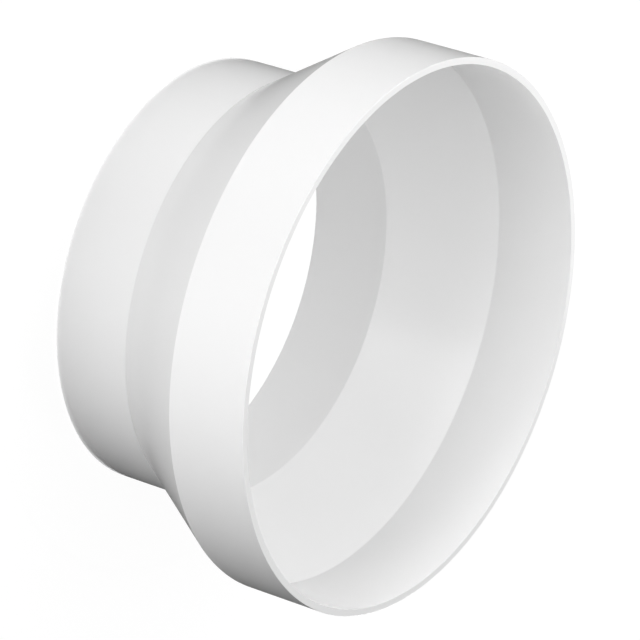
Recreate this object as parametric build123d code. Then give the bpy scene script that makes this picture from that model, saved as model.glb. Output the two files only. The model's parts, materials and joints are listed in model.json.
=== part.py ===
from build123d import *
import os

# Round duct reducer: one moulded piece of revolution about the Z axis, in millimetres.
# It stands on the rim of its small end at Z = 0, with the wide mouth up.

# Ducts that the two ends fit, and the radial play at each.
LARGE_DUCT_DIAMETER = 125.0
SMALL_DUCT_DIAMETER = 100.0
SOCKET_PLAY = 0.3
SPIGOT_PLAY = 0.1

# Walls of the two collars.
SOCKET_WALL = 1.6
SPIGOT_WALL = 1.8

# Lengths along the axis: the spigot and the cone outside, the socket inside.
SPIGOT_LENGTH = 19.4
CONE_LENGTH = 23.4
SOCKET_DEPTH = 20.2

# How far the inner crease lies above the outer one at the neck, and below it at the shoulder.
NECK_STEP = 1.0
SHOULDER_STEP = 0.4

# Radii that the mould leaves on the outer edge of each rim and at the four creases of the cone.
RIM_ROUND = 0.2
NECK_ROUND = 0.6
SHOULDER_ROUND = 0.5
BORE_CREASE_ROUND = 0.5
SOCKET_CREASE_ROUND = 0.5

# A rim keeps at least this share of its wall as a flat face.
RIM_FLAT_SHARE = 0.3

# Radii of the four cylinders.
SOCKET_INNER = LARGE_DUCT_DIAMETER / 2 + SOCKET_PLAY
SOCKET_OUTER = SOCKET_INNER + SOCKET_WALL
SPIGOT_OUTER = SMALL_DUCT_DIAMETER / 2 - SPIGOT_PLAY
SPIGOT_INNER = SPIGOT_OUTER - SPIGOT_WALL

# Heights of the creases and of the mouth.
NECK_OUTSIDE = SPIGOT_LENGTH
NECK_INSIDE = NECK_OUTSIDE + NECK_STEP
SHOULDER_OUTSIDE = NECK_OUTSIDE + CONE_LENGTH
SHOULDER_INSIDE = SHOULDER_OUTSIDE - SHOULDER_STEP
MOUTH = SHOULDER_INSIDE + SOCKET_DEPTH

# A corner of the section with no radius.
SHARP = 0


def rim_round(wall):
    """Radius on the outer edge of a rim, limited by its wall."""
    return min(RIM_ROUND, wall * (1 - RIM_FLAT_SHARE))


def wall_section():
    """Closed section of the wall: up the outside, over the mouth and down the inside."""
    corners = [
        ((SPIGOT_INNER, 0), SHARP),
        ((SPIGOT_OUTER, 0), rim_round(SPIGOT_WALL)),
        ((SPIGOT_OUTER, NECK_OUTSIDE), NECK_ROUND),
        ((SOCKET_OUTER, SHOULDER_OUTSIDE), SHOULDER_ROUND),
        ((SOCKET_OUTER, MOUTH), rim_round(SOCKET_WALL)),
        ((SOCKET_INNER, MOUTH), SHARP),
        ((SOCKET_INNER, SHOULDER_INSIDE), SOCKET_CREASE_ROUND),
        ((SPIGOT_INNER, NECK_INSIDE), BORE_CREASE_ROUND),
    ]
    points = [point for point, radius in corners]
    rounds = [radius for point, radius in corners]
    with BuildSketch(Plane.XZ) as section:
        with BuildLine():
            FilletPolyline(points, radius=rounds, close=True)
        make_face()
    return section.sketch


def reducer_body():
    """The whole reducer, its wall section turned once about the axis."""
    return revolve(wall_section(), axis=Axis.Z)


os.makedirs("parts", exist_ok=True)
export_step(reducer_body(), "parts/reducer_body.step")
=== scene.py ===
import json
import logging
import math
from dataclasses import dataclass
from enum import Enum
from typing import Any

import bpy
import numpy as np
from mathutils import Matrix, Vector


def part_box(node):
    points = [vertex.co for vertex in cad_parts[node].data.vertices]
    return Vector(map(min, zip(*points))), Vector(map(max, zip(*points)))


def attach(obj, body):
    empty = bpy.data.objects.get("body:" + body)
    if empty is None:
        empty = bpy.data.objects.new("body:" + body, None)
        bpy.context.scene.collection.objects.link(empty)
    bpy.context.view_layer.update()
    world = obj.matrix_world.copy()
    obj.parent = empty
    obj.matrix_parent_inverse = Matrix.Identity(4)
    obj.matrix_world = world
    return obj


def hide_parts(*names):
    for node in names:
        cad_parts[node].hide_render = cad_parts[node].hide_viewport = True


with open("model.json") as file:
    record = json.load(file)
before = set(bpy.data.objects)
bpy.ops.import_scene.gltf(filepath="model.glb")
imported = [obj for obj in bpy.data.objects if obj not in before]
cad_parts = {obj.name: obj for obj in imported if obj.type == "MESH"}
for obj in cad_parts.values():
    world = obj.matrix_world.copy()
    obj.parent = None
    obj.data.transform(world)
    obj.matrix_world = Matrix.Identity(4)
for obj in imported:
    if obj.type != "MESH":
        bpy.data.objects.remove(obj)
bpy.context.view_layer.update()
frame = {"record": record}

# Round duct reducer: a spigot, a cone and a socket moulded in one piece, standing on the spigot's rim.
# Every length is in metres and every angle in degrees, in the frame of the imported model.

LOG = logging.getLogger("duct_reducer")
MM = 0.001
FULL_TURN = 2 * math.pi

Point = tuple[float, float, float]
Colour = tuple[float, float, float, float]

WHITE: Colour = (1.0, 1.0, 1.0, 1.0)


class Ray(Enum):
    """Kinds of light path that see the white of the background instead of its plain shading."""

    CAMERA = "Is Camera Ray"
    GLOSSY = "Is Glossy Ray"
    TRANSMISSION = "Is Transmission Ray"


class Reflection(Enum):
    """Kinds of reflection in the plastic, by the switch that lets a card show in them."""

    GLOSS = "visible_glossy"
    DULL = "visible_diffuse"


def grey(level: float) -> Colour:
    """Gives an opaque neutral colour of that level."""
    return (level, level, level, 1.0)


def mount_named(name: str) -> dict[str, Any]:
    """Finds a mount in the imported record.

    Args:
        name: The mount's name.

    Returns:
        The mount's entry, with its place and dimensions.
    """
    return next(mount for mount in frame["record"]["mounts"] if mount["name"] == name)


def link_mesh(name: str, points: np.ndarray, quads: np.ndarray) -> bpy.types.Object:
    """Puts a surface into a new mesh object at the origin.

    Args:
        name: Name of the object and its mesh.
        points: Vertices, one row of three coordinates each.
        quads: Four vertex numbers per face, turning anticlockwise as seen from outside.

    Returns:
        The linked object.
    """
    mesh = bpy.data.meshes.new(name)
    mesh.from_pydata(points.tolist(), [], quads.tolist())
    mesh.validate()
    made = bpy.data.objects.new(name, mesh)
    bpy.context.scene.collection.objects.link(made)
    return made


class NodeBench:
    """A node tree under construction, with short calls for adding and joining its nodes."""

    def __init__(self, tree: bpy.types.NodeTree) -> None:
        """Starts with an empty tree."""
        self.tree = tree
        self.tree.nodes.clear()

    def add(self, kind: str, **sockets: Any) -> bpy.types.Node:
        """Adds a node and sets its inputs.

        Args:
            kind: Blender's type name of the node.
            **sockets: Input names, with underscores for spaces, and their values or source sockets.

        Returns:
            The new node.
        """
        node = self.tree.nodes.new(kind)
        for name, value in sockets.items():
            socket = node.inputs[name.replace("_", " ")]
            if isinstance(value, bpy.types.NodeSocket):
                self.join(value, socket)
            else:
                socket.default_value = value
        return node

    def join(self, source: bpy.types.NodeSocket, target: bpy.types.NodeSocket) -> None:
        """Links an output socket to an input socket."""
        self.tree.links.new(source, target)

    def seen_as_background(self) -> bpy.types.NodeSocket:
        """Joins the light path flags of the rays that see the background white.

        Returns:
            A socket that is 1 for those rays and 0 for every other.
        """
        path = self.add("ShaderNodeLightPath")
        total = path.outputs[Ray.CAMERA.value]
        for ray in (Ray.GLOSSY, Ray.TRANSMISSION):
            both = self.add("ShaderNodeMath")
            both.operation = "MAXIMUM"
            self.join(total, both.inputs[0])
            self.join(path.outputs[ray.value], both.inputs[1])
            total = both.outputs[0]
        return total

    def noise(self, place: bpy.types.NodeSocket, patch: float, detail: float) -> bpy.types.NodeSocket:
        """Adds a noise.

        Args:
            place: Socket with the coordinates.
            patch: Size of the patches.
            detail: Number of finer layers.

        Returns:
            The socket with its value, from 0 to 1.
        """
        return self.add("ShaderNodeTexNoise", Vector=place, Scale=1 / patch, Detail=detail).outputs["Fac"]

    def between(self, share: bpy.types.NodeSocket, low: float, high: float) -> bpy.types.NodeSocket:
        """Adds a node that goes from one value to another.

        Args:
            share: Socket that goes from 0 to 1.
            low: Value where it is 0.
            high: Value where it is 1.

        Returns:
            The socket with the value between them.
        """
        return self.add("ShaderNodeMapRange", Value=share, To_Min=low, To_Max=high).outputs["Result"]


def blank_material(name: str) -> tuple[bpy.types.Material, NodeBench]:
    """Makes a material with an empty node tree.

    Args:
        name: The material's name.

    Returns:
        The material, and the bench for its nodes.
    """
    made = bpy.data.materials.new(name)
    made.use_nodes = True
    return made, NodeBench(made.node_tree)


@dataclass(frozen=True)
class MouldedPlastic:
    """White plastic with the smooth, slightly glossy skin that a polished mould leaves."""

    slot: str = "white_plastic"
    colour: float = 0.95
    tone_drop: float = 0.012
    tone_patch: float = 30.0 * MM
    tone_detail: float = 2.0
    roughness_low: float = 0.16
    roughness_high: float = 0.22
    sheen_patch: float = 12.0 * MM
    sheen_detail: float = 4.0
    grain_pitch: float = 0.35 * MM
    grain_detail: float = 3.0
    grain_height: float = 0.0025 * MM
    specular_level: float = 0.4

    def material(self) -> bpy.types.Material:
        """Makes the node material: tone clouds, an uneven sheen and a fine grain, on Object coordinates.

        Returns:
            The material.
        """
        made, bench = blank_material(self.slot)
        place = bench.add("ShaderNodeTexCoord").outputs["Object"]
        clouds = bench.noise(place, self.tone_patch, self.tone_detail)
        sheen = bench.noise(place, self.sheen_patch, self.sheen_detail)
        grain = bench.noise(place, self.grain_pitch, self.grain_detail)
        bump = bench.add("ShaderNodeBump", Height=grain, Distance=self.grain_height)
        skin = bench.add(
            "ShaderNodeBsdfPrincipled",
            Base_Color=bench.between(clouds, self.colour * (1 - self.tone_drop), self.colour),
            Roughness=bench.between(sheen, self.roughness_low, self.roughness_high),
            Specular_IOR_Level=self.specular_level,
            Normal=bump.outputs["Normal"],
        )
        bench.add("ShaderNodeOutputMaterial", Surface=skin.outputs["BSDF"])
        return made


@dataclass(frozen=True)
class FloorPaper:
    """Pale studio paper: it lights the part from below, and shows as white with a faint shadow."""

    name: str = "floor_paper"
    bounce: float = 0.80
    shade: float = 0.10
    glow: float = 0.95

    def material(self) -> bpy.types.Material:
        """Makes the paper: a dull pale surface, which background rays see as white with a little shading.

        Returns:
            The material.
        """
        made, bench = blank_material(self.name)
        seen = bench.seen_as_background()
        dull = bench.add("ShaderNodeBsdfDiffuse", Color=bench.between(seen, self.bounce, self.shade))
        strength = bench.between(seen, 0.0, self.glow)
        white = bench.add("ShaderNodeEmission", Color=WHITE, Strength=strength)
        both = bench.add("ShaderNodeAddShader")
        bench.join(dull.outputs[0], both.inputs[0])
        bench.join(white.outputs[0], both.inputs[1])
        bench.add("ShaderNodeOutputMaterial", Surface=both.outputs[0])
        return made


@dataclass
class ReducerShell:
    """The moulded body: a wall section with rounded corners, carried once round the Z axis."""

    socket_outer: float
    socket_inner: float
    spigot_outer: float
    height: float
    finish: MouldedPlastic
    name: str = "reducer_shell"
    node: str = "reducer_body"
    body: str = "root"
    spigot_wall: float = 1.8 * MM
    neck_height: float = 19.4 * MM
    shoulder_height: float = 42.8 * MM
    neck_step: float = 1.0 * MM
    shoulder_step: float = 0.4 * MM
    rim_round: float = 0.12 * MM
    rim_edge: float = 0.05 * MM
    neck_round: float = 0.6 * MM
    crease_round: float = 0.5 * MM
    arc_steps: int = 8
    run_steps: int = 6
    turn_steps: int = 512

    @classmethod
    def from_frame(cls, finish: MouldedPlastic) -> "ReducerShell":
        """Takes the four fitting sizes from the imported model.

        Args:
            finish: The plastic that the shell is dressed in.

        Returns:
            The shell, not yet built.
        """
        _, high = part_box(cls.node)
        return cls(
            socket_outer=high.x,
            socket_inner=mount_named("large_duct_socket")["dims"]["r_mm"] * MM,
            spigot_outer=mount_named("small_duct_spigot")["dims"]["r_mm"] * MM,
            height=high.z,
            finish=finish,
        )

    def corners(self) -> tuple[np.ndarray, np.ndarray]:
        """Lists the corners of the wall section, anticlockwise with radius to the right and height up.

        Returns:
            The corners as rows of radius and height, and the radius that rounds each.
        """
        bore = self.spigot_outer - self.spigot_wall
        listed = [
            (bore, 0.0, self.rim_edge),
            (self.spigot_outer, 0.0, self.rim_round),
            (self.spigot_outer, self.neck_height, self.neck_round),
            (self.socket_outer, self.shoulder_height, self.crease_round),
            (self.socket_outer, self.height, self.rim_round),
            (self.socket_inner, self.height, self.rim_edge),
            (self.socket_inner, self.shoulder_height - self.shoulder_step, self.crease_round),
            (bore, self.neck_height + self.neck_step, self.crease_round),
        ]
        table = np.array(listed)
        return table[:, :2], table[:, 2]

    def section(self) -> tuple[np.ndarray, np.ndarray]:
        """Rounds the corners of the section and divides its straight runs.

        A corner where the outline turns by an angle becomes an arc of its radius, which starts and ends
        radius times tan(angle / 2) from the corner. The outward normal is the direction of travel turned a
        quarter clockwise, so each point of an arc is the centre plus or minus radius times its normal.

        Returns:
            Points along the closed outline and their outward normals, as rows of radius and height.
        """
        corner, radius = self.corners()
        run = np.roll(corner, -1, axis=0) - corner
        heading = np.arctan2(run[:, 1], run[:, 0])
        arriving = np.roll(heading, 1)
        turn = (heading - arriving + math.pi) % FULL_TURN - math.pi
        side = np.sign(turn)
        reach = radius * np.tan(np.abs(turn) / 2)
        start = corner - reach[:, None] * np.stack([np.cos(arriving), np.sin(arriving)], axis=1)
        first_normal = np.stack([np.sin(arriving), -np.cos(arriving)], axis=1)
        centre = start - (side * radius)[:, None] * first_normal
        share = np.linspace(0.0, 1.0, self.arc_steps + 1)
        angle = arriving[:, None] + turn[:, None] * share
        arc_normal = np.stack([np.sin(angle), -np.cos(angle)], axis=2)
        arc = centre[:, None, :] + (side * radius)[:, None, None] * arc_normal
        along = np.linspace(0.0, 1.0, self.run_steps + 1)[1:-1]
        left = arc[:, -1, :]
        reached = np.roll(arc[:, 0, :], -1, axis=0)
        straight = left[:, None, :] + along[None, :, None] * (reached - left)[:, None, :]
        straight_normal = np.repeat(arc_normal[:, -1:, :], len(along), axis=1)
        points = np.concatenate([arc, straight], axis=1).reshape(-1, 2)
        normals = np.concatenate([arc_normal, straight_normal], axis=1).reshape(-1, 2)
        return points, normals

    def carried_round(self, section: np.ndarray) -> np.ndarray:
        """Carries rows of radius and height round the axis.

        The row (r, z) at the angle a goes to (r cos a, r sin a, z).

        Args:
            section: Rows of radius and height.

        Returns:
            Rows of x, y and z, ordered by section row and then by angle.
        """
        angle = np.arange(self.turn_steps) * (FULL_TURN / self.turn_steps)
        radius = section[:, :1]
        height = np.broadcast_to(section[:, 1:], (len(section), self.turn_steps))
        turned = np.stack([radius * np.cos(angle), radius * np.sin(angle), height], axis=2)
        return turned.reshape(-1, 3)

    def quads(self, rows: int) -> np.ndarray:
        """Joins the grid of section rows and angles into faces, closed both ways.

        Args:
            rows: Number of section rows.

        Returns:
            Four vertex numbers per face, with the outer side facing out.
        """
        row, step = np.meshgrid(np.arange(rows), np.arange(self.turn_steps), indexing="ij")
        next_step = (step + 1) % self.turn_steps
        ring = row * self.turn_steps
        next_ring = (row + 1) % rows * self.turn_steps
        faces = [ring + step, ring + next_step, next_ring + next_step, next_ring + step]
        return np.stack(faces, axis=2).reshape(-1, 4)

    def build(self) -> bpy.types.Object:
        """Makes the shell, dresses it and sets it in the place of its solid.

        Returns:
            The finished piece.
        """
        points, normals = self.section()
        shell = link_mesh(self.name, self.carried_round(points), self.quads(len(points)))
        shell.data.shade_smooth()
        shell.data.normals_split_custom_set_from_vertices(self.carried_round(normals).tolist())
        shell.data.materials.append(self.finish.material())
        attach(shell, self.body)
        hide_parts(self.node)
        return shell


@dataclass(frozen=True)
class Softbox:
    """A soft light that faces a point, placed by the direction that it shines from.

    Azimuth 0 is the camera's side, towards -Y, and azimuth 90 is towards +X. The size is width and height.
    """

    name: str
    azimuth: float
    elevation: float
    distance: float
    size: tuple[float, float]
    power: float

    def build(self, aim: Vector) -> bpy.types.Object:
        """Places the light.

        Args:
            aim: The point that it faces.

        Returns:
            The lamp.
        """
        turn = math.radians(self.azimuth)
        rise = math.radians(self.elevation)
        out = Vector((math.sin(turn) * math.cos(rise), -math.cos(turn) * math.cos(rise), math.sin(rise)))
        lamp = bpy.data.lights.new(self.name, "AREA")
        lamp.shape = "RECTANGLE"
        lamp.size, lamp.size_y = self.size
        lamp.energy = self.power
        made = bpy.data.objects.new(self.name, lamp)
        made.location = aim + out * self.distance
        made.rotation_euler = (-out).to_track_quat("-Z", "Y").to_euler()
        made.visible_camera = False
        bpy.context.scene.collection.objects.link(made)
        return made


@dataclass(frozen=True)
class FloorCard:
    """A flat ring of card round the part's foot, which only one kind of reflection in the plastic shows."""

    name: str
    shows_in: Reflection
    foot: float
    outer: float
    colour: float
    gap: float = 0.3 * MM
    lift: float = 0.5 * MM
    turn_steps: int = 96

    def material(self) -> bpy.types.Material:
        """Makes the dull surface of the card.

        Returns:
            The material.
        """
        made, bench = blank_material(self.name)
        dull = bench.add("ShaderNodeBsdfDiffuse", Color=grey(self.colour))
        bench.add("ShaderNodeOutputMaterial", Surface=dull.outputs[0])
        return made

    def build(self) -> bpy.types.Object:
        """Lays the ring: a circle a gap outside the foot and a wider one, joined step by step.

        Returns:
            The card.
        """
        step = np.arange(self.turn_steps)
        angle = step * (FULL_TURN / self.turn_steps)
        circle = np.stack([np.cos(angle), np.sin(angle)], axis=1)
        flat = np.concatenate([circle * (self.foot + self.gap), circle * self.outer])
        points = np.column_stack([flat, np.full(len(flat), self.lift)])
        after = (step + 1) % self.turn_steps
        quads = np.stack([step, step + self.turn_steps, after + self.turn_steps, after], axis=1)
        card = link_mesh(self.name, points, quads)
        card.data.materials.append(self.material())
        card.visible_camera = False
        card.visible_transmission = False
        card.visible_shadow = False
        for reflection in Reflection:
            setattr(card, reflection.value, reflection is self.shows_in)
        return card


@dataclass
class Studio:
    """The pale floor, the white surround, the cards and the softboxes."""

    paper: FloorPaper
    cards: tuple[FloorCard, ...]
    softboxes: tuple[Softbox, ...]
    floor_half: float = 4.0
    aim_height: float = 35.0 * MM

    def floor(self) -> bpy.types.Object:
        """Lays the floor that the part stands on: a square at height 0.

        Returns:
            The floor.
        """
        side = np.array([-self.floor_half, self.floor_half])
        x, y = np.meshgrid(side, side)
        points = np.stack([x.ravel(), y.ravel(), np.zeros(x.size)], axis=1)
        laid = link_mesh("studio_floor", points, np.array([[0, 1, 3, 2]]))
        laid.data.materials.append(self.paper.material())
        return laid

    def world(self) -> bpy.types.World:
        """Surrounds the scene with a white for background rays, so that the lamps alone light the part.

        Returns:
            The world.
        """
        made = bpy.data.worlds.new("studio_surround")
        made.use_nodes = True
        bench = NodeBench(made.node_tree)
        even = bench.add("ShaderNodeBackground", Color=WHITE, Strength=bench.seen_as_background())
        bench.add("ShaderNodeOutputWorld", Surface=even.outputs[0])
        bpy.context.scene.world = made
        return made

    def build(self) -> list[bpy.types.Object]:
        """Sets up the world, the floor, the cards and the lights.

        Returns:
            The floor, the cards and the lamps.
        """
        self.world()
        aim = Vector((0.0, 0.0, self.aim_height))
        cards = [card.build() for card in self.cards]
        lamps = [softbox.build(aim) for softbox in self.softboxes]
        return [self.floor(), *cards, *lamps]


@dataclass(frozen=True)
class PhotoCamera:
    """The camera of the photograph, which looks into the mouth with the axis of the part lying across."""

    name: str = "photo_camera"
    lens_mm: float = 273.4
    sensor_mm: float = 36.0
    aim: Point = (2.38 * MM, 0.0, 36.97 * MM)
    distance: float = 1.097
    elevation: float = 32.07
    roll: float = 107.4

    def build(self) -> bpy.types.Object:
        """Places the camera and makes it the scene's own.

        It stands at its distance and elevation in front of the aim, and its right-hand side is turned from
        level by the roll.

        Returns:
            The camera.
        """
        rise = math.radians(self.elevation)
        roll = math.radians(self.roll)
        back = Vector((0.0, -math.cos(rise), math.sin(rise)))
        level = Vector((1.0, 0.0, 0.0))
        right = level * math.cos(roll) + back.cross(level) * math.sin(roll)
        up = back.cross(right)
        lens = bpy.data.cameras.new(self.name)
        lens.lens = self.lens_mm
        lens.sensor_width = self.sensor_mm
        made = bpy.data.objects.new(self.name, lens)
        place = Matrix((right, up, back)).transposed().to_4x4()
        place.translation = Vector(self.aim) + back * self.distance
        made.matrix_world = place
        bpy.context.scene.collection.objects.link(made)
        bpy.context.scene.camera = made
        return made


def floor_cards(foot: float) -> tuple[FloorCard, ...]:
    """Lists the cards: a wide dark one for the gloss, and a narrow grey one against the floor's bounce.

    Args:
        foot: Radius of the part where it stands.

    Returns:
        The cards, not yet built.
    """
    return (
        FloorCard("dark_card", Reflection.GLOSS, foot, outer=1.5, colour=0.03),
        FloorCard("grey_card", Reflection.DULL, foot, outer=72.0 * MM, colour=0.50),
    )


def photo_softboxes() -> tuple[Softbox, ...]:
    """Lists the lights, with places and powers that give the plastic the greys of the photograph.

    Returns:
        The softboxes, not yet built.
    """
    return (
        Softbox("front_strip", azimuth=8.0, elevation=7.0, distance=0.45, size=(0.50, 0.13), power=1.17),
        Softbox("low_side", azimuth=-90.0, elevation=4.0, distance=0.45, size=(0.13, 0.13), power=0.68),
        Softbox("low_back", azimuth=156.0, elevation=9.0, distance=0.45, size=(0.13, 0.13), power=0.70),
        Softbox("overhead", azimuth=-49.0, elevation=60.0, distance=0.40, size=(0.60, 0.28), power=0.94),
        Softbox("mouth_light", azimuth=60.0, elevation=88.0, distance=0.17, size=(0.11, 0.10), power=0.078),
        Softbox("rear_rim", azimuth=-150.0, elevation=35.0, distance=0.20, size=(0.16, 0.10), power=0.06),
    )


def main() -> None:
    """Builds the part, the studio and the camera, and reports each piece."""
    logging.basicConfig(level=logging.INFO, format="%(name)s: %(message)s")
    bpy.context.scene.view_settings.view_transform = "Standard"
    reducer = ReducerShell.from_frame(MouldedPlastic())
    shell = reducer.build()
    LOG.info("%s: %d faces", shell.name, len(shell.data.polygons))
    studio = Studio(FloorPaper(), floor_cards(reducer.spigot_outer), photo_softboxes())
    for piece in studio.build():
        LOG.info("%s placed", piece.name)
    camera = PhotoCamera().build()
    LOG.info("%s placed", camera.name)


if __name__ == "__main__":
    main()
